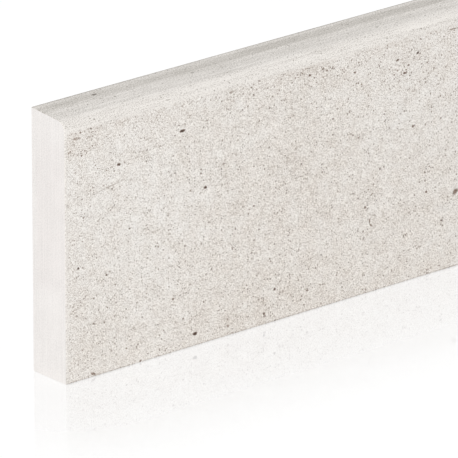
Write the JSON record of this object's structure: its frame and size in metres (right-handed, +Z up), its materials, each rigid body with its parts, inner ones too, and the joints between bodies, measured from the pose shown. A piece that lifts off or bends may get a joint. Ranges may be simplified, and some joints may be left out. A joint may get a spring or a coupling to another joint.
{
  "type": "ceramic skirting tile",
  "caption": "Straight porcelain skirting strip with a stone-look face, a rounded top front edge, square ends and a keyed back.",
  "frame": {"origin": "middle of the foot, the long lower edge that the strip stands on", "axes": "+X along the wall, +Y towards the wall (the keyed back), +Z up; the printed face looks towards -Y"},
  "size_m": [0.6, 0.011, 0.06],
  "materials": {
    "stoneware": "matt, with a fine pale limestone print"
  },
  "bodies": {
    "root": {"skirting_tile": "stoneware"}
  },
  "joints": []
}
